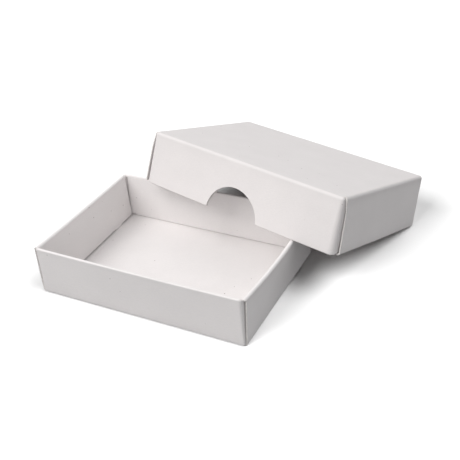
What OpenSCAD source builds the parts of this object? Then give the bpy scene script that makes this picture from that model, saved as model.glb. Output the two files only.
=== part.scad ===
// Two-piece folding gift box: an open tray, and a lid that leans on it.
// Each piece is folded from one blank of white board. Every wall is double: it turns up at
// the base, rolls over at the rim and comes back down inside. Flaps on the ends of the long
// walls are tucked between the plies of the end walls, and hold the corners square.
// Sizes are in millimetres. The origin is the centre of the tray's underside.

/* [Board] */
// Thickness of the board
board = 0.5; // [0.4:0.05:0.55]
// Air between two plies that lie against each other
ply_gap = 0.1; // [0.05:0.05:0.15]

/* [Tray] */
// Length of the tray at its base
tray_length = 85; // [80:0.5:90]
// Width of the tray at its base
tray_width = 61; // [56:0.5:65]
// Height of the tray
tray_height = 20; // [18:0.5:22]
// Outward lean of the long walls, in degrees
tray_long_lean = 0.9; // [0:0.1:1]
// Outward lean of the end walls, in degrees
tray_end_lean = 0.6; // [0:0.1:0.8]

/* [Lid] */
// Length of the lid at its top
lid_length = 89; // [86:0.5:94]
// Width of the lid at its top
lid_width = 64; // [60:0.5:68]
// Height of the lid
lid_height = 21.4; // [19:0.2:23]
// Outward lean of the long walls, in degrees
lid_long_lean = 1.7; // [0:0.1:3]
// Outward lean of the end walls, in degrees
lid_end_lean = 2.8; // [0:0.1:3]
// Radius of the thumb notch in each long wall
notch_radius = 11.5; // [8:0.5:13]
// How far past the rim the centre of the notch lies
notch_drop = 1; // [0:0.5:3]

/* [Folds] */
// Length of the corner flaps
flap_length = 17; // [10:1:24]
// Gap under the inner ply of an end wall, between its feet
foot_gap = 0.4; // [0.2:0.1:0.8]
// Width of each foot of that ply
foot_width = 5; // [3:0.5:8]
// Length cut off the lower corners of the inner ply of a long wall
corner_cut = 3; // [1:0.5:5]
// Angle by which the inner ply of an end wall narrows towards the rim, in degrees
slit_angle = 1.5; // [0:0.1:2]

/* [Place of the lid] */
// How far right of the tray's centre the centre of the lid's rim is
lid_right = 23.5; // [20:0.1:27]
// How far behind the tray's centre it is
lid_back = 44.4; // [42:0.1:48]
// How far above the surface it is
lid_up = 11.25; // [11:0.05:14]
// Turn of the lid about the vertical, in degrees
lid_turn = -12.9; // [-16:0.1:-8]
// Sideways tilt of the lid, in degrees
lid_side_tilt = 1.7; // [0:0.1:2]
// Backward tilt of the lid, in degrees
lid_back_tilt = -17.5; // [-20:0.1:-16]

/* [Hidden] */
$fn = 72;
// Play left where the edge of one ply faces another
play = 0.1;
// Outer radius of the rolled rim on a long wall, which has two plies
long_roll = board + ply_gap / 2;
// Outer radius of the rolled rim on an end wall, which has a flap between its plies
end_roll = 1.5 * board + ply_gap;
// Slope of the cut across the lower corners of an inner ply
corner_cut_slope = 0.3;
// Length cut off the free corner of a flap
flap_cut = 4;
// Distance of each foot from the middle of its wall, as a share of the wall
foot_share = 0.3;
// Margin by which a cutting shape passes the solid that it cuts
past = 2;

// Turn about the vertical that takes a wall built facing +X to its side of the box
RIGHT = 0;
REAR = 90;
LEFT = 180;
FRONT = 270;

// A box: length, width, height, lean of the long walls, lean of the end walls, notched or not
TRAY = [tray_length, tray_width, tray_height, tray_long_lean, tray_end_lean, false];
LID = [lid_length, lid_width, lid_height, lid_long_lean, lid_end_lean, true];
function box_length(box) = box[0];
function box_width(box) = box[1];
// Height of a wall above the crease at the base
function rise(box) = box[2] - board;
function long_lean(box) = box[3];
function end_lean(box) = box[4];
function notched(box) = box[5];

// Sector of a bend in the board, between two radii, from one angle through a sweep
module bend(outer, inner, start, sweep) {
    far = 2 * outer;
    intersection() {
        difference() {
            circle(r = outer);
            if (inner > 0) circle(r = inner);
        }
        rotate(start) polygon([
            [0, 0],
            [far, 0],
            far * [cos(sweep / 2), sin(sweep / 2)],
            far * [cos(sweep), sin(sweep)]
        ]);
    }
}

// Section of an outer ply: the crease at the base, the upright, and half of the rolled rim
module outer_section(wall_rise, roll, lean) {
    square([board, wall_rise - roll]);
    bend(board, 0, lean - 90, 90 - lean);
    translate([board - roll, wall_rise - roll]) bend(roll, roll - board, 0, 90);
}

// Section of an inner ply: the other half of the rolled rim, and the ply hanging from it
module inner_section(wall_rise, roll, low) {
    translate([board - 2 * roll, low]) square([board, wall_rise - roll - low]);
    translate([board - roll, wall_rise - roll]) bend(roll, roll - board, 90, 90);
}

// Run a section along the wall
module along_wall(run) {
    rotate([90, 0, 0]) linear_extrude(run, center = true) children();
}

// Give an outline, drawn as along and up, a thickness from one depth to another
module through_wall(from, to) {
    translate([from, 0, 0]) rotate([90, 0, 90]) linear_extrude(to - from) children();
}

// Outline of a wall whose ends slope with the walls that it meets
module tapered(span, inset, lean, low, high) {
    half_low = span / 2 - inset + low * tan(lean);
    half_high = span / 2 - inset + high * tan(lean);
    polygon([[-half_low, low], [half_low, low], [half_high, high], [-half_high, high]]);
}

// Stand a wall, built facing +X with its crease at the origin, on one side of the box
module on_side(side, span, lean) {
    rotate([0, 0, side]) translate([span / 2 - board, 0, board]) rotate([0, lean, 0])
        children();
}

// Thumb notch, as the round bar that cuts it
module notch_bar(box) {
    translate([0, 0, rise(box) + notch_drop]) rotate([0, 90, 0])
        cylinder(r = notch_radius, h = 4 * past, center = true);
}

module base_panel(box) {
    translate([board - box_length(box) / 2, board - box_width(box) / 2, 0])
        cube([box_length(box) - 2 * board, box_width(box) - 2 * board, board]);
}

module long_outer_wall(box, side) {
    on_side(side, box_width(box), long_lean(box)) difference() {
        intersection() {
            along_wall(box_length(box) + past)
                outer_section(rise(box), long_roll, long_lean(box));
            through_wall(-past, past)
                tapered(box_length(box), board + ply_gap, end_lean(box), -past, rise(box) + past);
        }
        if (notched(box)) notch_bar(box);
    }
}

module long_inner_wall(box, side) {
    on_side(side, box_width(box), long_lean(box)) difference() {
        intersection() {
            along_wall(box_length(box)) inner_section(rise(box), long_roll, play);
            through_wall(-past, past) long_inner_outline(box);
        }
        if (notched(box)) notch_bar(box);
    }
}

// The ply is longer below the rims of the end walls, where it reaches the flaps
module long_inner_outline(box) {
    shoulder = rise(box) - end_roll - play;
    at_flap = 2 * board + ply_gap + play;
    at_rim = 2 * end_roll + play;
    difference() {
        union() {
            tapered(box_length(box), at_flap, end_lean(box), 0, shoulder);
            tapered(box_length(box), at_rim, end_lean(box), 0, rise(box) + past);
        }
        for (way = [-1, 1]) translate([way * (box_length(box) / 2 - at_flap), 0]) polygon([
            [-way * corner_cut, 0],
            [way * past, 0],
            [way * past, (corner_cut + past) * corner_cut_slope]
        ]);
    }
}

module end_outer_wall(box, side) {
    on_side(side, box_length(box), end_lean(box)) intersection() {
        along_wall(box_width(box) + past) outer_section(rise(box), end_roll, end_lean(box));
        through_wall(-past, past)
            tapered(box_width(box), board + ply_gap, long_lean(box), -past, rise(box) + past);
    }
}

module end_inner_wall(box, side) {
    on_side(side, box_length(box), end_lean(box)) intersection() {
        along_wall(box_width(box)) inner_section(rise(box), end_roll, play);
        through_wall(-past, past) end_inner_outline(box);
    }
}

// The ply fits between the long walls, stands on two feet, and widens into the rolled rim
module end_inner_outline(box) {
    narrow = 2 * long_roll + play;
    shoulder = rise(box) - end_roll;
    tapered(box_width(box), narrow, long_lean(box) - slit_angle, foot_gap, shoulder + play);
    tapered(box_width(box), board + ply_gap, long_lean(box), shoulder, rise(box) + past);
    for (way = [-1, 1])
        translate([way * foot_share * box_width(box) - foot_width / 2, 0])
            square([foot_width, foot_gap + play]);
}

// A flap hangs from the end of a long wall: way is -1 for the wall on the low side, 1 for the
// wall on the high side, of the end wall's own run
module corner_flap(box, side, way) {
    top = rise(box) - end_roll;
    root = box_width(box) / 2 - board;
    on_side(side, box_length(box), end_lean(box)) through_wall(-ply_gap - board, -ply_gap)
        polygon([
            [way * root, play],
            [way * (root + top * tan(long_lean(box))), top],
            [way * (root - flap_length + flap_cut), top],
            [way * (root - flap_length), top - flap_cut],
            [way * (root - flap_length), play]
        ]);
}

// Turn a box that stands on its panel upside down, and lean it as the lid leans
module as_lid() {
    translate([lid_right, lid_back, lid_up]) rotate([lid_back_tilt, lid_side_tilt, lid_turn])
        translate([0, 0, lid_height]) mirror([0, 0, 1]) children();
}

module tray_base_panel() { color("whitesmoke") base_panel(TRAY); }
module tray_front_outer_wall() { color("whitesmoke") long_outer_wall(TRAY, FRONT); }
module tray_rear_outer_wall() { color("whitesmoke") long_outer_wall(TRAY, REAR); }
module tray_left_outer_wall() { color("whitesmoke") end_outer_wall(TRAY, LEFT); }
module tray_right_outer_wall() { color("whitesmoke") end_outer_wall(TRAY, RIGHT); }
module tray_front_inner_wall() { color("white") long_inner_wall(TRAY, FRONT); }
module tray_rear_inner_wall() { color("white") long_inner_wall(TRAY, REAR); }
module tray_left_inner_wall() { color("white") end_inner_wall(TRAY, LEFT); }
module tray_right_inner_wall() { color("white") end_inner_wall(TRAY, RIGHT); }
module tray_front_left_flap() { color("gainsboro") corner_flap(TRAY, LEFT, 1); }
module tray_front_right_flap() { color("gainsboro") corner_flap(TRAY, RIGHT, -1); }
module tray_rear_left_flap() { color("gainsboro") corner_flap(TRAY, LEFT, -1); }
module tray_rear_right_flap() { color("gainsboro") corner_flap(TRAY, RIGHT, 1); }
module lid_top_panel() { color("whitesmoke") as_lid() base_panel(LID); }
module lid_front_outer_wall() { color("whitesmoke") as_lid() long_outer_wall(LID, FRONT); }
module lid_rear_outer_wall() { color("whitesmoke") as_lid() long_outer_wall(LID, REAR); }
module lid_left_outer_wall() { color("whitesmoke") as_lid() end_outer_wall(LID, LEFT); }
module lid_right_outer_wall() { color("whitesmoke") as_lid() end_outer_wall(LID, RIGHT); }
module lid_front_inner_wall() { color("white") as_lid() long_inner_wall(LID, FRONT); }
module lid_rear_inner_wall() { color("white") as_lid() long_inner_wall(LID, REAR); }
module lid_left_inner_wall() { color("white") as_lid() end_inner_wall(LID, LEFT); }
module lid_right_inner_wall() { color("white") as_lid() end_inner_wall(LID, RIGHT); }
module lid_front_left_flap() { color("gainsboro") as_lid() corner_flap(LID, LEFT, 1); }
module lid_front_right_flap() { color("gainsboro") as_lid() corner_flap(LID, RIGHT, -1); }
module lid_rear_left_flap() { color("gainsboro") as_lid() corner_flap(LID, LEFT, -1); }
module lid_rear_right_flap() { color("gainsboro") as_lid() corner_flap(LID, RIGHT, 1); }

tray_base_panel();
tray_front_outer_wall();
tray_rear_outer_wall();
tray_left_outer_wall();
tray_right_outer_wall();
tray_front_inner_wall();
tray_rear_inner_wall();
tray_left_inner_wall();
tray_right_inner_wall();
tray_front_left_flap();
tray_front_right_flap();
tray_rear_left_flap();
tray_rear_right_flap();
lid_top_panel();
lid_front_outer_wall();
lid_rear_outer_wall();
lid_left_outer_wall();
lid_right_outer_wall();
lid_front_inner_wall();
lid_rear_inner_wall();
lid_left_inner_wall();
lid_right_inner_wall();
lid_front_left_flap();
lid_front_right_flap();
lid_rear_left_flap();
lid_rear_right_flap();
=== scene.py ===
"""White folded-board gift box: an open tray, and its lid leaning on one corner of it.

Every ply is a thin closed sheet: a flat outline, as it is cut from the blank, bent round its
creases. So the rolled rims, the cut edges and the gaps between the plies are real shapes.
Sizes are millimetres in each box's own frame, which is read from the CAD model. Only the stage
and its lights are in metres.
"""
import math

import bmesh
import bpy
import numpy as np
from mathutils import Matrix, Vector
from mathutils.geometry import delaunay_2d_cdt


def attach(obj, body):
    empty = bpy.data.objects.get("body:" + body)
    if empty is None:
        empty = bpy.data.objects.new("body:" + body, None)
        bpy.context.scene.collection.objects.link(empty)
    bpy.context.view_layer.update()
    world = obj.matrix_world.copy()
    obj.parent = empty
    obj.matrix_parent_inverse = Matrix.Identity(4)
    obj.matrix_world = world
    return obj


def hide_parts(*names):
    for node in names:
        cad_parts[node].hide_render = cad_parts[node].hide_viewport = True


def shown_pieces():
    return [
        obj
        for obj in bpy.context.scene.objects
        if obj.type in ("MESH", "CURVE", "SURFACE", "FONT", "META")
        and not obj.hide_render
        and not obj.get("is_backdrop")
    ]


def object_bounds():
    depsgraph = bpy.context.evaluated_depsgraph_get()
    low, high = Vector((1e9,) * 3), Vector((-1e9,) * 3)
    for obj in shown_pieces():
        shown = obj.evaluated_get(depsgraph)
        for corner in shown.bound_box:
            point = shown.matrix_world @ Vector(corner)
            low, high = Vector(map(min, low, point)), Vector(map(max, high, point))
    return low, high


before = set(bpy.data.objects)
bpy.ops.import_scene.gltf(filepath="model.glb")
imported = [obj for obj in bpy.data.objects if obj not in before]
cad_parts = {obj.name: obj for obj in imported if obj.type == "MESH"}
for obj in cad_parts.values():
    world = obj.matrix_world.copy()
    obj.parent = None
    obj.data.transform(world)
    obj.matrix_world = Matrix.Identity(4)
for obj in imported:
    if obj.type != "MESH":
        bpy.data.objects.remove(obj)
cad_box = [list(corner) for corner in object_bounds()]

MM = 0.001
PLY_GAP = 0.1  # air between plies that lie together
PLAY = 0.1  # play where the edge of one ply faces another
SEAM = 0.4  # how far the outer piece of a wall runs down the inside past the rolled rim
FOOT_WIDTH = 5.0  # width of the feet under the inner ply of an end wall
NOTCH_EASE = 0.4  # how much larger the die cut the notches
TIP_REACH = 0.55  # how far the rolled rim reaches over a corner, as a share of its radius
SHOULDER = 50  # degrees of the rolled rim up to its shoulder, where a flap ends
STRAIN_REACH = 0.5  # how far beside a fold its coating is strained and painted with shade
STEP = 3.0  # spacing of mesh points across a flat ply
BEND_STEPS = 7  # mesh rows in a quarter bend
ARC_STEPS = 24  # mesh edges in half of a thumb notch
CORNER_STEPS = 10  # mesh columns round a vertical corner
CORNER_FLARE = 0.8  # how the radius of a corner grows with height, as a power
SLACK_REACH = 9.0  # how far from its corner a flap lies flat on the end wall again
WALL_STOPS = 9  # points of the outline up the side of a long wall
TINY = 1e-12  # stands in for 0 in a division


def smooth(t):
    """Smooth step of t, from 0 at 0 to 1 at 1."""
    t = np.clip(t, 0, 1)
    return t * t * (3 - 2 * t)


# ---------------------------------------------------------------- the boxes, from the CAD model

def node_points(name):
    """Points of a CAD node in millimetres."""
    return np.array([v.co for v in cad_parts[name].data.vertices]) / MM


def panel_frame(panel, wall):
    """Axes, origin, board thickness and size of a box, from its flat panel and any one wall.

    x runs along the panel, z from its outer face towards the wall, and the origin is in the
    middle of that face.
    """
    corners = np.unique(node_points(panel).round(4), axis=0)
    middle = corners.mean(0)
    edges = sorted(corners[1:] - corners[0], key=np.linalg.norm)
    thick = edges[0]
    square = 0.02  # cosine below which two edges count as square to each other
    across = next(e for e in edges[1:] if abs(e @ thick) < square * np.linalg.norm(e))
    along = next(
        e for e in edges[1:]
        if abs(e @ thick) + abs(e @ across) / np.linalg.norm(across) < square * np.linalg.norm(e)
    )
    board = np.linalg.norm(thick)
    z = thick / board
    if (node_points(wall).mean(0) - middle) @ z < 0:
        z = -z
    x = along / np.linalg.norm(along) * np.sign(along[0])
    axes = np.column_stack([x, np.cross(z, x), z])
    size = [np.linalg.norm(along) + 2 * board, np.linalg.norm(across) + 2 * board]
    return axes, middle - z * board / 2, board, size


class Corner:
    """How one vertical corner of a box looks.

    soft: outer radius of the corner at the rim, where it is rounder than at the panel
    slack: how far the flap stands off the end wall at the rim
    inset: how far the cut side of the end wall stands back from the corner: at the panel, at a
    quarter of the height, at the rim, and on the rolled rim itself
    slit: how far the inner ply of the end wall stops short of the long wall, at the panel and at
    the rim
    gape: how far the inner ply of the long wall stops short, at the panel and at the rim
    spring: how far the end wall springs outward beside its cut side
    """

    def __init__(self, soft, slack, inset, slit=(0.0, 0.5), gape=(0.0, 0.0), spring=0.0):
        self.soft, self.slack, self.inset = soft, slack, inset
        self.slit, self.gape, self.spring = slit, gape, spring


class Box:
    """A folded box in its own frame: the panel's outer face is at z = 0, and the rim above it.

    rear: 1 if the rear wall is the one at +y, and -1 if it is the one at -y
    crease: outer radius of the crease between the panel and the walls
    corners: a Corner for each pair of a long side and an end
    """

    def __init__(self, name, panel, rear, crease, corners):
        self.name = name
        self.panel = name + panel
        self.rear = rear
        axes, origin, self.board, size = panel_frame(self.panel, f"{name}_right_inner_wall")
        self.axes, self.origin = axes, origin
        self.length, self.width = size
        # Outer radius of the rolled rims: those of the end walls are rolled over the flaps
        self.long_roll = self.board + PLY_GAP / 2
        self.end_roll = 1.5 * self.board + PLY_GAP
        right = self.local(f"{name}_right_outer_wall")
        front = self.local(f"{name}_front_outer_wall")
        self.height = right[:, 2].max()
        self.rise = self.height - self.board
        self.end_lean = (right[:, 0].max() - self.length / 2) / (self.rise - self.end_roll)
        self.long_lean = (abs(front[:, 1]).max() - self.width / 2) / (self.rise - self.long_roll)
        notch = front[(abs(front[:, 0]) < self.length / 4) & (front[:, 2] > self.height / 4)]
        self.notched = len(notch) > 0
        if self.notched:
            self.notch_half = abs(notch[:, 0]).max() + NOTCH_EASE
            self.notch_depth = self.height - notch[:, 2].min() + NOTCH_EASE
        self.crease, self.corners = crease, corners

    def local(self, node):
        return (node_points(node) - self.origin) @ self.axes

    def world(self, points):
        return (points @ self.axes.T + self.origin) * MM

    def corner_radius(self, corner, z):
        """Outer radius of a vertical corner at a height."""
        up = np.clip((z - self.crease) / (self.height - self.crease), 0, 1)
        return self.crease + (corner.soft - self.crease) * up ** CORNER_FLARE

    def flap_face(self, corner, z, from_corner):
        """x of the outer face of a flap, which meets the end wall away from the corner."""
        beside = self.length / 2 - self.board - PLY_GAP + self.end_lean * z
        return beside - corner.slack * z / self.height * (1 - smooth(from_corner / SLACK_REACH))

    def corner_axis(self, corner, z):
        """x of the line where a long wall starts to turn round the corner."""
        return self.flap_face(corner, z, 0) - self.corner_radius(corner, z)

    def inside_corner(self, corner, z):
        """x that the inner ply of a long wall can reach inside the rounded corner."""
        radius = max(self.corner_radius(corner, z) - self.board, PLY_GAP)
        return self.corner_axis(corner, z) + math.sqrt(radius ** 2 - (radius - PLY_GAP) ** 2)


tray = Box("tray", "_base_panel", rear=1, crease=0.6, corners={
    ("front", "right"): Corner(1.3, 0.35, inset=(0.9, 1.1, 1.5, 0.8)),
    ("front", "left"): Corner(1.0, 0.1, inset=(0.4, 0.5, 0.7, 0.6), spring=0.25),
    ("rear", "right"): Corner(0.9, 0.2, inset=(0.8, 0.9, 1.1, 0.9)),
    ("rear", "left"): Corner(
        0.9, 0.2, inset=(0.8, 0.9, 1.1, 0.9), slit=(0.4, 0.9), gape=(0.7, 1.1)
    ),
})
lid = Box("lid", "_top_panel", rear=-1, crease=1.2, corners={
    ("front", "right"): Corner(2.4, 0.4, inset=(1.5, 2.7, 3.3, 3.0), slit=(0.3, 1.5)),
    ("front", "left"): Corner(1.2, 0.5, inset=(0.8, 0.6, 0.6, 0.6), spring=0.5),
    ("rear", "right"): Corner(1.5, 0.3, inset=(1.0, 1.3, 1.6, 1.3), slit=(0.2, 0.8)),
    ("rear", "left"): Corner(1.5, 0.3, inset=(1.0, 1.3, 1.6, 1.3), slit=(0.2, 0.8)),
})

# How far the middle of each wall's rim bows outward
BOWS = {
    "tray": {"right": 1.7, "left": -0.3, "rear": 0.2, "front": 0.3},
    "lid": {"right": 0.3, "left": 0.3, "rear": 0.3, "front": 0.4},
}
BOW_REACH = 9.0  # how far in from a wall's panel edge its bow starts
BOW_FADE = 6.0  # over which distance it comes in
# How far the edges of each panel are lifted, so that it rests on its middle
EDGE_LIFT = {"tray": 0.4, "lid": 0.1}
SPRING_REACH = 14.0  # how far along an end wall its cut side springs outward
NOTCH_SHIFT = {"front": -0.9, "rear": 0.0}  # how far the die cut each notch off centre
# Feet of the inner ply of each end wall: their distance from its middle, and the gap under the
# ply beside them. The tray's left wall has its front foot out at the corner and wider gaps.
STANDARD_FOOT = {"from_middle": 18.0, "gap": 0.4}
FEET = {
    ("tray", "left"): {
        "front": {"from_middle": 26.0, "gap": 0.7},
        "rear": {"from_middle": 18.0, "gap": 0.6},
    },
    ("tray", "right"): {"front": STANDARD_FOOT, "rear": STANDARD_FOOT},
    ("lid", "left"): {"front": STANDARD_FOOT, "rear": STANDARD_FOOT},
    ("lid", "right"): {"front": STANDARD_FOOT, "rear": STANDARD_FOOT},
}
# How far the free edge of each inner ply hangs inward: hang in its middle, and skew more at its
# positive end. bulge is how far the middle of the ply bulges inward.
HANG = {
    ("tray", "left"): {"hang": 1.6, "skew": -0.7, "bulge": 0.2},
    ("tray", "right"): {"hang": 0.4, "skew": 0.1, "bulge": 0.3},
    ("lid", "left"): {"hang": 0.4, "skew": -0.1, "bulge": 0.3},
    ("lid", "right"): {"hang": 0.3, "skew": 0.1, "bulge": 0.3},
    ("tray", "front"): {"hang": 0.0, "skew": 0.0, "bulge": 0.3},
    ("tray", "rear"): {"hang": 0.0, "skew": 0.0, "bulge": 0.2},
    ("lid", "front"): {"hang": 0.0, "skew": 0.0, "bulge": 1.0},
    ("lid", "rear"): {"hang": 0.0, "skew": 0.0, "bulge": 0.4},
}


def bow(box, points):
    """Gentle bends of the board, the same for every ply at a place."""
    x, y, z = points.T
    up = np.clip(z / box.height, 0, 1)
    along_x = np.clip(1 - (2 * x / box.length) ** 2, 0, 1)
    along_y = np.clip(1 - (2 * y / box.width) ** 2, 0, 1)
    to_rear = y * box.rear
    bows = BOWS[box.name]
    near_right = smooth((x - box.length / 2 + BOW_REACH) / BOW_FADE)
    near_left = smooth((-x - box.length / 2 + BOW_REACH) / BOW_FADE)
    near_rear = smooth((to_rear - box.width / 2 + BOW_REACH) / BOW_FADE)
    near_front = smooth((-to_rear - box.width / 2 + BOW_REACH) / BOW_FADE)
    moved = points.copy()
    bend = up * smooth(up)
    moved[:, 0] += bend * along_y * (near_right * bows["right"] - near_left * bows["left"])
    outward = near_rear * bows["rear"] - near_front * bows["front"]
    moved[:, 1] += bend * along_x * outward * box.rear
    # Steep near the edges, so that the middle of the panel stays flat
    to_edge = np.maximum(abs(2 * x / box.length) ** 4, abs(2 * y / box.width) ** 4)
    moved[:, 2] += EDGE_LIFT[box.name] * np.clip(to_edge, 0, 1) * (1 - up)
    return moved


# ---------------------------------------------------------------- bent sheets

class Profile:
    """The line that a sheet follows when it is bent, by arc length.

    It starts at a point with a heading in degrees, its outer face is on its right hand, and it
    turns to the left. Each stretch is kept as its start, length, place, heading and curvature.
    """

    def __init__(self, start, heading):
        self.rows = [0.0]
        self.bends = []
        self.stretches = []
        self.point = np.array(start, float)
        self.heading = math.radians(heading)
        self.end = 0.0

    def grow(self, length, curve, count):
        """Add a stretch with a number of mesh rows."""
        self.stretches.append((self.end, length, self.point, self.heading, curve))
        self.rows += [self.end + length * (i + 1) / count for i in range(count)]
        self.end += length
        self.point, self.heading = self.follow(self.stretches[-1], length)

    def straight(self, length):
        self.grow(length, 0.0, max(1, math.ceil(length / STEP)))

    def bend(self, degrees, radius):
        length = radius * math.radians(degrees)
        self.bends.append((self.end, self.end + length))
        self.grow(length, 1 / radius, max(2, round(BEND_STEPS * degrees / 90)))

    @staticmethod
    def follow(stretch, run):
        """Point and heading at a run along a stretch."""
        _, _, start, heading, curve = stretch
        turned = heading + run * curve
        if curve:
            dx = (np.sin(turned) - math.sin(heading)) / curve
            dy = (math.cos(heading) - np.cos(turned)) / curve
        else:
            dx, dy = run * math.cos(heading), run * math.sin(heading)
        return start + np.stack([dx, dy], -1), turned

    def at(self, b):
        """Point and outward normal at each arc length."""
        point, heading = self.follow(self.stretches[0], b)
        for stretch in self.stretches[1:]:
            beyond = b >= stretch[0]
            point[beyond], heading[beyond] = self.follow(stretch, b[beyond] - stretch[0])
        return point, np.column_stack([np.sin(heading), -np.cos(heading)])

    def near_bend(self, b):
        """1 on a bend, falling to 0 beside it: where the coating is strained and painted with
        shade.
        """
        strain_and_shade = np.zeros(len(b))
        for first, last in self.bends:
            away = np.maximum(first - b, b - last)
            strain_and_shade = np.maximum(strain_and_shade, 1 - smooth(away / STRAIN_REACH))
        return strain_and_shade


def cut_up(outline, rows, columns):
    """Outline with a point wherever an edge crosses a mesh row or column."""
    same, apart = 1e-6, 1e-4  # limits below which two places are the same, or too close
    points = []
    for start, end in zip(outline, outline[1:] + outline[:1]):
        start, end = np.array(start), np.array(end)
        cuts = [0.0]
        for axis, lines in enumerate((columns, rows)):
            if abs(end[axis] - start[axis]) > same:
                cuts += list((np.array(lines) - start[axis]) / (end[axis] - start[axis]))
        cuts = sorted(c for c in cuts if 0 <= c < 1 - same)
        kept = [c for i, c in enumerate(cuts) if i == 0 or c - cuts[i - 1] > apart]
        points += [start + c * (end - start) for c in kept]
    return np.array(points)


def well_inside(points, loop, margin):
    """True for the points inside a closed loop that are at least margin from it."""
    x, y = points[:, :1], points[:, 1:]
    p, q = loop, np.roll(loop, -1, axis=0)
    edge = q - p
    crossing = (p[:, 1] > y) != (q[:, 1] > y)
    slope = edge[:, 0] / np.where(edge[:, 1] == 0, TINY, edge[:, 1])
    odd = (crossing & (x < p[:, 0] + (y - p[:, 1]) * slope)).sum(1) % 2 == 1
    share = ((x - p[:, 0]) * edge[:, 0] + (y - p[:, 1]) * edge[:, 1]) / (edge ** 2).sum(1)
    share = np.clip(share, 0, 1)
    away = np.hypot(x - p[:, 0] - share * edge[:, 0], y - p[:, 1] - share * edge[:, 1])
    return odd & (away.min(1) > margin)


def sheet(name, outline, rows, columns, surface, board, strain_and_shade):
    """Mesh of a closed thin sheet.

    outline is flat, as (a, b), and surface(a, b, depth) gives its place in the box. Mesh rows
    lie at given values of b and columns at given values of a, close together at the bends.
    """
    rows, columns = np.unique(np.round(rows, 5)), np.unique(np.round(columns, 5))
    loop = cut_up(outline, rows, columns)
    # The mesh is made where rows and columns are 1 apart, so that its faces are even
    even = np.column_stack([
        np.interp(loop[:, 0], columns, np.arange(len(columns))),
        np.interp(loop[:, 1], rows, np.arange(len(rows))),
    ])
    shortest, margin, merge = 1e-4, 0.25, 1e-6
    even = even[np.linalg.norm(even - np.roll(even, 1, axis=0), axis=1) > shortest]
    grid = np.stack(np.meshgrid(np.arange(len(columns)), np.arange(len(rows))), -1)
    grid = grid.reshape(-1, 2).astype(float)
    flat = np.vstack([even, grid[well_inside(grid, even, margin)]])
    ring = [(i, (i + 1) % len(even)) for i in range(len(even))]
    inside_only = 1  # output type of the triangulation: only the triangles within the ring
    made = delaunay_2d_cdt([Vector(p) for p in flat], ring, [], inside_only, merge)
    flat = np.array([tuple(v) for v in made[0]])
    top = np.array([tuple(f) for f in made[2]])
    a = np.interp(flat[:, 0], np.arange(len(columns)), columns)
    b = np.interp(flat[:, 1], np.arange(len(rows)), rows)
    outer, inner = surface(a, b, 0.0), surface(a, b, board)

    nudge = 0.005
    along_a = surface(a + nudge, b, 0.0) - surface(a - nudge, b, 0.0)
    along_b = surface(a, b + nudge, 0.0) - surface(a, b - nudge, 0.0)
    normal = np.cross(along_a, along_b)
    normal /= np.maximum(np.linalg.norm(normal, axis=1), TINY)[:, None]
    normal *= np.sign((normal * (outer - inner)).sum(1))[:, None]
    corner = outer[top]
    facing = np.cross(corner[:, 1] - corner[:, 0], corner[:, 2] - corner[:, 0])
    backwards = (facing * normal[top].mean(1)).sum(1) < 0
    top[backwards] = top[backwards][:, ::-1]

    count = len(flat)
    directed = {(t[i], t[(i + 1) % 3]) for t in top.tolist() for i in range(3)}
    rim = sorted((i, j) for i, j in directed if (j, i) not in directed)
    faces = top.tolist() + (top[:, ::-1] + count).tolist()
    faces += [(j, i, i + count, j + count) for i, j in rim]
    points = np.vstack([outer, inner])
    first_cut = 2 * len(top)
    cut = [np.cross(*(points[[f[2], f[3]]] - points[[f[0], f[1]]])) for f in faces[first_cut:]]
    cut = np.array(cut) / np.maximum(np.linalg.norm(cut, axis=1), TINY)[:, None]
    normals = np.vstack([
        normal[top].reshape(-1, 3), -normal[top[:, ::-1]].reshape(-1, 3), np.repeat(cut, 4, 0),
    ])
    strain_and_shade_mask = np.tile(strain_and_shade(a, b), 2)
    return name, points, faces, normals, strain_and_shade_mask, first_cut


def add_piece(box, made, node):
    """Turn a sheet into a piece that stands for its CAD node and rides on its box."""
    name, points, faces, normals, strain_and_shade_mask, first_cut = made
    mesh = bpy.data.meshes.new(name)
    mesh.from_pydata(box.world(points).tolist(), [], faces)
    mesh.materials.append(MATERIALS[box.name])
    mesh.materials.append(MATERIALS["cut"])
    is_cut = (np.arange(len(faces)) >= first_cut).astype(np.int32)
    mesh.polygons.foreach_set("material_index", is_cut)
    mesh.polygons.foreach_set("use_smooth", np.ones(len(faces), bool))
    mesh.normals_split_custom_set((normals @ box.axes.T).tolist())
    mesh.attributes.new("strain_and_shade", "FLOAT", "POINT").data.foreach_set("value", strain_and_shade_mask)
    mesh.update()
    piece = bpy.data.objects.new(name, mesh)
    bpy.context.scene.collection.objects.link(piece)
    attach(piece, box.name)
    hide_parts(node)
    return piece


def spaced(low, high):
    """Evenly spaced values, no more than a mesh step apart."""
    return np.linspace(low, high, math.ceil((high - low) / STEP) + 1)


# ---------------------------------------------------------------- panels, walls and flaps

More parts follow.
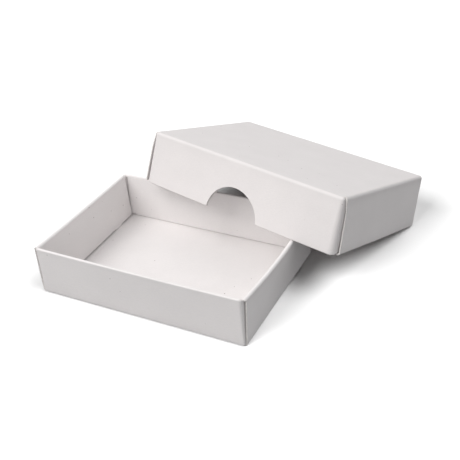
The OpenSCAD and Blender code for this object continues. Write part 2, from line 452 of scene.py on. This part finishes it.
class Wall:
    """One double wall: its section, and which way it faces.

    Its profile runs from the panel up the outer ply, over the rolled rim and down the inner ply.
    The names that end in _b are places on it: foot is the top of the crease, rim the start of
    the roll and crest its top, and back is where the inner ply starts.
    """

    def __init__(self, box, side):
        self.box, self.side = box, side
        self.is_end = side in ("left", "right")
        if self.is_end:
            self.way = 1 if side == "right" else -1
            self.half, self.lean, self.roll = box.length / 2, box.end_lean, box.end_roll
        else:
            self.way = box.rear if side == "rear" else -box.rear
            self.half, self.lean, self.roll = box.width / 2, box.long_lean, box.long_roll
        board, tilt = box.board, math.atan(self.lean)
        self.lift = (box.crease - board) * (1 - math.sin(tilt)) / math.cos(tilt)
        self.out = self.half - board + (board - box.crease) * math.cos(tilt)
        self.out += self.lift * math.sin(tilt)
        self.profile = Profile((self.out, 0.0), 0.0)
        self.profile.bend(90 - math.degrees(tilt), box.crease)
        self.foot_b = self.profile.end
        self.profile.straight(box.rise - self.roll - self.lift)
        self.rim_b = self.profile.end
        self.profile.bend(180, self.roll)
        self.shoulder_b = self.rim_b + self.roll * math.radians(SHOULDER)
        self.crest_b = self.rim_b + self.roll * math.radians(90)
        self.back_b = self.profile.end
        self.profile.straight(box.rise - self.roll)

    def up(self, v):
        """Arc length on the outer ply at a height v above the panel's inner face."""
        return self.foot_b + v - self.lift

    def down(self, v):
        """Arc length on the inner ply at a height v above the panel's inner face."""
        return self.back_b + self.box.rise - self.roll - v

    def height_at(self, b):
        return self.profile.at(np.array([b], float))[0][0, 1]

    def hang(self, a, b):
        """How far the inner ply hangs inward."""
        shape = HANG[self.box.name, self.side]
        down = np.clip((b - self.back_b) / (self.profile.end - self.back_b), 0, 1)
        along = a / ((self.box.width if self.is_end else self.box.length) / 2)
        bulge = shape["bulge"] * np.sin(math.pi * down) * np.clip(1 - along ** 2, 0, 1)
        return (shape["hang"] + shape["skew"] * along) * down + bulge

    def spring(self, a, b, z):
        """How far an end wall springs outward beside its cut sides."""
        up = np.clip(z / self.box.height, 0, 1)
        on_roll = np.clip((b - self.rim_b) / (self.back_b - self.rim_b), 0, 1)
        shift = np.zeros(len(a))
        for way, long in ((self.box.rear, "rear"), (-self.box.rear, "front")):
            beside = smooth(1 - (self.box.width / 2 - a * way) / SPRING_REACH)
            shift += self.box.corners[long, self.side].spring * beside
        full_from = 1 / 3  # share of the height from which the spring is whole
        return shift * smooth(up / full_from) * (1 - on_roll)

    def surface(self, a, b, depth):
        """Places in the box of points on the wall, at a depth below its outer face."""
        place, normal = self.profile.at(b)
        place = place - depth * normal
        z = place[:, 1]
        out = place[:, 0] - self.hang(a, b)
        if self.is_end:
            out += self.spring(a, b, z)
        out *= self.way
        points = np.column_stack([out, a, z] if self.is_end else [a, out, z])
        return bow(self.box, points)

    def strain_and_shade(self, a, b):
        return self.profile.near_bend(b)

    def make(self, ply, high, low, between=()):
        """Piece for one ply.

        high and low are its sides where a is above and below 0, from the first fold line to
        the last, with the distances of low given as above 0. between joins their last ends.
        """
        outline = high + list(between) + [(-a, b) for a, b in reversed(low)]
        first, last = (pick(b for a, b in outline) for pick in (min, max))
        rows = [b for b in self.profile.rows if first < b < last] + [first, last]
        reach = max(abs(a) for a, b in outline)
        node = f"{self.box.name}_{self.side}_{ply}"
        made = sheet(
            node + "_board", outline, rows, spaced(-reach, reach), self.surface,
            self.box.board, self.strain_and_shade,
        )
        return add_piece(self.box, made, node)


def notch_line(wall, to_b):
    """Outline of the thumb notch in one ply, from its right side to its left, if it has one.

    to_b turns a height into a place on the profile of that ply.
    """
    box = wall.box
    if not box.notched:
        return []
    half, depth = box.notch_half, box.notch_depth
    radius = (half ** 2 + depth ** 2) / (2 * depth)
    centre = box.rise - depth + radius
    last = math.acos((centre - box.rise + wall.roll) / radius)
    angles = [last * (i + 1) / ARC_STEPS for i in range(ARC_STEPS)]
    arc = [(radius * math.sin(t), to_b(centre - radius * math.cos(t))) for t in angles]
    line = [(arc[-1][0], wall.back_b + SEAM)] + arc[::-1] + [(0.0, to_b(box.rise - depth))]
    line += [(-a, b) for a, b in line[-2::-1]]
    return [(a + NOTCH_SHIFT[wall.side], b) for a, b in line]


def long_wall(box, side):
    """Front or rear wall, whose plies may have the thumb notch. It returns the wall."""
    wall = Wall(box, side)
    seam = wall.back_b + SEAM
    stops = np.linspace(wall.foot_b, wall.rim_b, WALL_STOPS)
    outer = {}
    for end in ("left", "right"):
        corner = box.corners[side, end]
        line = [(box.corner_axis(corner, wall.height_at(b)), b) for b in stops]
        side_x = line[-1][0]
        tip = side_x + TIP_REACH * corner.soft
        line += [(side_x, wall.shoulder_b), (tip, wall.crest_b), (tip, seam)]
        outer[end] = [(line[0][0], 0.0)] + line
    # Gap under the inner ply, and the length and slope of the cut at its lower corners
    gap, cut, cut_slope = 0.3, 3.0, 0.3
    half = box.length / 2 - 2 * box.board - PLY_GAP - PLAY
    half_rim = box.length / 2 - 2 * box.end_roll - PLAY + box.end_lean * box.height
    shoulder = box.rise - box.end_roll - PLAY
    inner = {}
    for end in ("left", "right"):
        corner = box.corners[side, end]
        foot_x = half - corner.gape[0]
        top_x = min(half + box.end_lean * shoulder, box.inside_corner(corner, shoulder))
        top_x -= corner.gape[1]
        rim_x = min(half_rim, top_x)
        inner[end] = [
            (foot_x - cut, wall.down(gap)),
            (foot_x, wall.down(gap + cut * cut_slope)),
            (top_x, wall.down(shoulder)),
            (rim_x, wall.down(shoulder)),
            (rim_x, seam),
        ]
    wall.make("outer_wall", outer["right"], outer["left"], notch_line(wall, wall.up))
    wall.make("inner_wall", inner["right"], inner["left"], notch_line(wall, wall.down))
    return wall


def end_wall(box, side):
    """Wall at one end, whose inner ply stands on two feet between the long walls."""
    wall = Wall(box, side)
    seam = wall.back_b + SEAM
    heights = [box.crease, box.height / 4, box.rise, box.rise]
    on_roll = wall.rim_b + box.end_roll / 2
    stops = [wall.foot_b, wall.up(heights[1]), wall.rim_b, on_roll]
    narrow = 2 * box.long_roll + PLAY
    outer, inner = {}, {}
    for long in ("front", "rear"):
        inset, slit = box.corners[long, side].inset, box.corners[long, side].slit
        line = [
            (box.width / 2 + box.long_lean * z - back, b)
            for z, back, b in zip(heights, inset, stops)
        ]
        outer[long] = [(line[0][0], 0.0)] + line + [(line[-1][0], seam)]
        foot = FEET[box.name, side][long]
        foot_from, foot_to = (foot["from_middle"] + FOOT_WIDTH / 2 * way for way in (-1, 1))
        gap, ground = wall.down(foot["gap"]), wall.down(PLAY)
        top = box.width / 2 + box.long_lean * box.rise - narrow - slit[1]
        inner[long] = [
            (foot_from, gap), (foot_from, ground), (foot_to, ground), (foot_to, gap),
            (box.width / 2 - narrow - slit[0], gap),
            (min(top, line[-1][0]), seam),
        ]
    high, low = ("rear", "front") if box.rear > 0 else ("front", "rear")
    wall.make("outer_wall", outer[high], outer[low])
    wall.make("inner_wall", inner[high], inner[low])


def flap(box, wall, end):
    """Flap on one end of a long wall, with the rounded corner that joins them.

    The corner reaches from the panel's crease to the start of the rolled rim.
    """
    x_way = 1 if end == "right" else -1
    corner = box.corners[wall.side, end]
    arc = 1.5 * corner.soft  # width of the outline that turns round the corner
    crease_top = wall.height_at(wall.foot_b)

    def surface(s, b, depth):
        place, normal = wall.profile.at(b)
        upright = np.clip(place[:, 1], crease_top, wall.height_at(wall.rim_b))
        radius = box.corner_radius(corner, upright)
        axis_y = wall.half + wall.lean * upright - radius
        place = place - depth * normal
        away = place[:, 0] - axis_y
        turn = np.clip(s / arc, 0, 1) * math.pi / 2
        run = np.maximum(s - arc, 0)
        axis_x = box.flap_face(corner, upright, run) - radius
        x = axis_x + away * np.sin(turn)
        y = axis_y + away * np.cos(turn) - run
        points = np.column_stack([x * x_way, y * wall.way, place[:, 1]])
        return bow(box, points)

    def strain_and_shade(s, b):
        return 1 - smooth((s - arc) / STRAIN_REACH)

    length, cut = 15.0, 4.0  # of the flap, and cut off its free upper corner
    start, clear, relief = 0.05, 0.2, 0.4  # play at its first fold, at its sides and at the roll
    top = wall.up(box.rise - box.end_roll) - clear
    low = wall.up(clear)
    at_rim, at_shoulder = 0.95 * arc, 0.75 * arc  # how far round the corner it reaches up there
    outline = [
        (0.0, start), (arc, start), (arc, low), (arc + length, low),
        (arc + length, top - cut), (arc + length - cut, top), (arc + relief, top),
        (at_rim, wall.rim_b), (at_shoulder, wall.shoulder_b), (0.0, wall.shoulder_b),
    ]
    rows = [b for b in wall.profile.rows if start < b < wall.shoulder_b]
    rows += [start, low, top, wall.shoulder_b]
    columns = list(np.linspace(0, arc, CORNER_STEPS + 1)) + list(arc + spaced(0, length))
    node = f"{box.name}_{wall.side}_{end}_flap"
    made = sheet(node + "_board", outline, rows, columns, surface, box.board, strain_and_shade)
    add_piece(box, made, node)


def panel(box, long, end):
    """Flat panel, which meets the creases of the four walls."""
    x, y = end.out, long.out
    outline = [(-x, -y), (x, -y), (x, y), (-x, y)]

    def surface(a, b, depth):
        return bow(box, np.column_stack([a, b, np.full(len(a), depth)]))

    def strain_and_shade(a, b):
        to_edge = np.minimum(x - abs(a), y - abs(b))
        return 1 - smooth(to_edge / STRAIN_REACH)

    columns, rows = (
        np.append(spaced(-r, r), [STRAIN_REACH - r, r - STRAIN_REACH]) for r in (x, y)
    )
    made = sheet(box.panel + "_board", outline, rows, columns, surface, box.board, strain_and_shade)
    add_piece(box, made, box.panel)


# ---------------------------------------------------------------- materials

class Shading:
    """Node tree of one material, with short ways to add what the board needs."""

    def __init__(self, name):
        self.material = bpy.data.materials.new(name)
        self.material.use_nodes = True
        self.nodes, self.links = self.material.node_tree.nodes, self.material.node_tree.links
        self.shader = self.nodes["Principled BSDF"]
        self.place = self.nodes.new("ShaderNodeTexCoord").outputs["Object"]

    def join(self, value, socket):
        """Put a number, colour or another node's output into a socket."""
        if isinstance(value, bpy.types.NodeSocket):
            self.links.new(value, socket)
        else:
            socket.default_value = value

    def math(self, operation, first, second):
        node = self.nodes.new("ShaderNodeMath")
        node.operation = operation
        self.join(first, node.inputs[0])
        self.join(second, node.inputs[1])
        return node.outputs[0]

    def mix(self, share, first, second):
        """Colour that goes from first to second."""
        node = self.nodes.new("ShaderNodeMix")
        node.data_type = "RGBA"
        self.join(share, node.inputs["Factor"])
        self.join(first, node.inputs["A"])
        self.join(second, node.inputs["B"])
        return node.outputs["Result"]

    def ramp(self, value, low, high, to_low=0.0, to_high=1.0):
        """Map low..high to another range, and stop at its ends."""
        node = self.nodes.new("ShaderNodeMapRange")
        self.join(value, node.inputs["Value"])
        for key, number in zip(("From Min", "From Max", "To Min", "To Max"),
                               (low, high, to_low, to_high)):
            node.inputs[key].default_value = number
        return node.outputs["Result"]

    def noise(self, size_mm, detail, stretch=(1, 1, 1)):
        """Noise with features of a size, stretched along the axes."""
        mapping = self.nodes.new("ShaderNodeMapping")
        mapping.inputs["Scale"].default_value = [1 / (size_mm * MM * s) for s in stretch]
        self.join(self.place, mapping.inputs["Vector"])
        node = self.nodes.new("ShaderNodeTexNoise")
        node.inputs["Scale"].default_value = 1.0
        node.inputs["Detail"].default_value = detail
        self.join(mapping.outputs["Vector"], node.inputs["Vector"])
        return node.outputs["Fac"]

    def specks(self, cell_mm, radius_mm, share):
        """1 inside sparse round specks: a share of the cells has one."""
        node = self.nodes.new("ShaderNodeTexVoronoi")
        node.inputs["Scale"].default_value = 1 / (cell_mm * MM)
        self.join(self.place, node.inputs["Vector"])
        radius = radius_mm / cell_mm
        solid = radius / 2  # the speck fades from here to its radius
        dot = self.ramp(node.outputs["Distance"], radius, solid)
        pick = self.nodes.new("ShaderNodeSeparateColor")
        self.join(node.outputs["Color"], pick.inputs["Color"])
        return self.math("MULTIPLY", dot, self.math("LESS_THAN", pick.outputs["Red"], share))

    def attribute(self, name):
        node = self.nodes.new("ShaderNodeAttribute")
        node.attribute_name = name
        return node.outputs["Fac"]

    def bump(self, height, depth_mm):
        node = self.nodes.new("ShaderNodeBump")
        node.inputs["Distance"].default_value = depth_mm * MM
        self.join(height, node.inputs["Height"])
        self.join(node.outputs["Normal"], self.shader.inputs["Normal"])

    def finish(self, colour, roughness):
        self.join(colour, self.shader.inputs["Base Color"])
        self.join(roughness, self.shader.inputs["Roughness"])
        return self.material


def shade(colour, factor):
    """A colour made lighter or darker, with its alpha."""
    return (*(min(c * factor, 1) for c in colour), 1)


def board_material(name, colour):
    """Matt white paperboard: fibres, cloudy formation, a few specks, and at folds a strained
    coating with painted shade.
    """
    board = Shading(name)
    clouds = board.noise(size_mm=9.0, detail=4)
    fibres = board.noise(size_mm=0.35, detail=5, stretch=(2.4, 1, 1))
    cloudy = board.mix(board.ramp(clouds, 0.3, 0.7), shade(colour, 0.972), shade(colour, 1.022))
    fibrous = board.mix(board.ramp(fibres, 0.25, 0.75), shade(colour, 0.95), shade(colour, 1.045))
    fibre_share = 0.5
    tone = board.mix(fibre_share, cloudy, fibrous)

    # At the folds the coating is painted greyer, less so where fibres lie under it: partly a
    # strained coating, partly painted shade that dims the highlight the folds catch
    strain_and_shade = board.attribute("strain_and_shade")
    fold_grey_and_shade_share = board.math("MULTIPLY", strain_and_shade, board.ramp(fibres, 0.2, 0.7, to_low=0.35))
    fold_grey_and_shade = board.mix(board.ramp(clouds, 0.35, 0.65), shade(colour, 0.95), shade(colour, 0.99))
    tone = board.mix(fold_grey_and_shade_share, tone, fold_grey_and_shade)

    small = board.specks(cell_mm=3.4, radius_mm=0.24, share=0.22)
    large = board.specks(cell_mm=7.0, radius_mm=0.30, share=0.4)
    brown, speck_strength = (0.16, 0.13, 0.11, 1), 0.75
    specks = board.math("MULTIPLY", board.math("MAXIMUM", small, large), speck_strength)
    tone = board.mix(specks, tone, brown)

    cloud_height, strain_roughness = 2.0, 0.15
    height = board.math("ADD", fibres, board.math("MULTIPLY", clouds, cloud_height))
    board.bump(height, depth_mm=0.035)
    smoothest, roughest = 0.5, 0.66
    rough = board.ramp(fibres, 0.25, 0.75, smoothest, roughest)
    rough = board.math("ADD", rough, board.math("MULTIPLY", strain_and_shade, strain_roughness))
    return board.finish(tone, rough)


def cut_material(name, colour):
    """Cut edge of the board: raw layered fibre, rougher than the faces."""
    edge = Shading(name)
    fibres = edge.noise(size_mm=0.12, detail=4, stretch=(3, 3, 1))
    clumps = edge.noise(size_mm=1.6, detail=3)
    tone = edge.mix(edge.ramp(fibres, 0.3, 0.7), shade(colour, 0.84), shade(colour, 1.06))
    clump_share = edge.ramp(clumps, 0.55, 0.75, to_high=0.4)
    tone = edge.mix(clump_share, tone, shade(colour, 0.8))
    edge.bump(fibres, depth_mm=0.06)
    smoothest, roughest = 0.75, 0.95
    return edge.finish(tone, edge.ramp(fibres, 0.3, 0.7, smoothest, roughest))


# The tray and the lid are one board in two tones: the tray's copy is painted a little lighter than
# the lid's, as painted light
MATERIALS = {
    "tray": board_material("tray_board", (0.83, 0.802, 0.794)),
    "lid": board_material("lid_board", (0.762, 0.731, 0.722)),
    "cut": cut_material("cut_edge", (0.80, 0.77, 0.745)),
}

for box in (tray, lid):
    for side in ("left", "right"):
        end_wall(box, side)
    for side in ("front", "rear"):
        wall = long_wall(box, side)
        for end in ("left", "right"):
            flap(box, wall, end)
    panel(box, Wall(box, "front"), Wall(box, "right"))


# ---------------------------------------------------------------- stage, light and camera

def add_floor(name, height, albedo):
    """Large plain floor. It returns the floor, so that its part in the light can be set."""
    reach = 6.0
    corners = [(x * reach, y * reach, height) for x, y in ((-1, -1), (1, -1), (1, 1), (-1, 1))]
    mesh = bpy.data.meshes.new(name)
    mesh.from_pydata(corners, [], [(0, 1, 2, 3)])
    material = bpy.data.materials.new(name)
    material.use_nodes = True
    shader = material.node_tree.nodes["Principled BSDF"]
    shader.inputs["Base Color"].default_value = (albedo, albedo, albedo, 1)
    shader.inputs["Roughness"].default_value = 0.9
    shader.inputs["Specular IOR Level"].default_value = 0.1
    mesh.materials.append(material)
    floor = bpy.data.objects.new(name, mesh)
    bpy.context.scene.collection.objects.link(floor)
    floor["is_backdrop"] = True
    return floor


def add_stage():
    """White floor, and a greyer one just below it that the object sees instead.

    The photograph's background is whiter than the light that comes up from it.
    """
    white = add_floor("floor", height=0.0, albedo=0.98)
    white.visible_diffuse = False
    grey = add_floor("floor_bounce", height=-0.2 * MM, albedo=0.4)
    grey.visible_camera = False
    return white, grey


def light_only(lamp, things):
    """Let a light fall on these things only."""
    lit = bpy.data.collections.new(lamp.name + "_lit")
    for thing in things:
        lit.objects.link(thing)
    lamp.light_linking.receiver_collection = lit


def light_tent(radius, strength):
    """Evenly bright dome round the scene, which casts no shadow and isn't seen itself."""
    form = bmesh.new()
    bmesh.ops.create_icosphere(form, subdivisions=3, radius=radius)
    open_below = -0.3 * radius
    low = [v for v in form.verts if v.co.z < open_below]
    bmesh.ops.delete(form, geom=low, context="VERTS")
    mesh = bpy.data.meshes.new("light_tent")
    form.to_mesh(mesh)
    form.free()
    material = bpy.data.materials.new("light_tent")
    material.use_nodes = True
    shader = material.node_tree.nodes["Principled BSDF"]
    shader.inputs["Base Color"].default_value = (0, 0, 0, 1)
    shader.inputs["Specular IOR Level"].default_value = 0
    shader.inputs["Emission Color"].default_value = (0.975, 0.985, 1, 1)
    shader.inputs["Emission Strength"].default_value = strength
    mesh.materials.append(material)
    tent = bpy.data.objects.new("light_tent", mesh)
    tent.visible_shadow = False
    tent.visible_camera = False
    bpy.context.scene.collection.objects.link(tent)
    tent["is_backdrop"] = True
    return tent


def direction(azimuth, elevation):
    """Unit vector towards an azimuth, 0 at the front and 90 at the right, and an elevation."""
    turn, tilt = math.radians(azimuth), math.radians(elevation)
    level = math.cos(tilt)
    return Vector((math.sin(turn) * level, -math.cos(turn) * level, math.sin(tilt)))


def place_lamp(light, back, location):
    """Lamp for a light, turned to shine away from the direction back."""
    lamp = bpy.data.objects.new(light.name, light)
    lamp.location = location
    lamp.rotation_mode = "QUATERNION"
    lamp.rotation_quaternion = (-back).to_track_quat("-Z", "Y")
    bpy.context.scene.collection.objects.link(lamp)
    return lamp


def softbox(name, aim, back, distance, size, power):
    """Square area light that looks at a point, from a distance in the direction back."""
    light = bpy.data.lights.new(name, "AREA")
    light.size = size
    light.energy = power
    light.color = (1, 0.98, 0.97)
    return place_lamp(light, back, aim + back * distance)


def distant_softbox(name, back, spread, strength):
    """Soft light that is the same all over the floor. Its spread is in degrees.

    Only its direction matters, so its lamp may stand anywhere.
    """
    light = bpy.data.lights.new(name, "SUN")
    light.angle = math.radians(spread)
    light.energy = strength
    return place_lamp(light, back, back)


def add_camera(centre):
    """Camera at the photograph's angle, which aims a little in front of and below the centre."""
    aim = centre + Vector((-3.8, -9.8, -10.8)) * MM
    back, distance = direction(27.77, 32.35), 304 * MM
    roll = math.radians(-3.57)
    camera = bpy.data.cameras.new("camera")
    camera.sensor_width = 36
    camera.lens = 60.4
    camera.clip_start, camera.clip_end = 0.01, 20
    seen = bpy.data.objects.new("camera", camera)
    turned = (-back).to_track_quat("-Z", "Y").to_matrix() @ Matrix.Rotation(roll, 3, "Z")
    seen.matrix_world = Matrix.Translation(aim + back * distance) @ turned.to_4x4()
    bpy.context.scene.collection.objects.link(seen)
    bpy.context.scene.camera = seen


scene = bpy.context.scene
scene.view_settings.view_transform = "Standard"
# The world is only the white backdrop: it gives no light to the object
world = bpy.data.worlds.new("studio")
world.use_nodes = True
world.node_tree.nodes["Background"].inputs["Color"].default_value = (1, 1, 1, 1)
world.cycles_visibility.diffuse = False
world.cycles_visibility.glossy = False
scene.world = world
centre = (Vector(cad_box[0]) + Vector(cad_box[1])) / 2
white_floor, grey_floor = add_stage()
shown = [*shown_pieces(), grey_floor]
key = softbox("key", centre, direction(-41, 52), distance=1.4, size=1.0, power=14.1)
floor_right = distant_softbox("floor_right", direction(90, 57), spread=40, strength=2.3)
floor_front = distant_softbox("floor_front", direction(-27, 40), spread=36, strength=3.3)
light_only(light_tent(radius=3.0, strength=0.64), shown)
light_only(key, shown)
light_only(floor_right, [white_floor])
light_only(floor_front, [white_floor])
add_camera(centre)
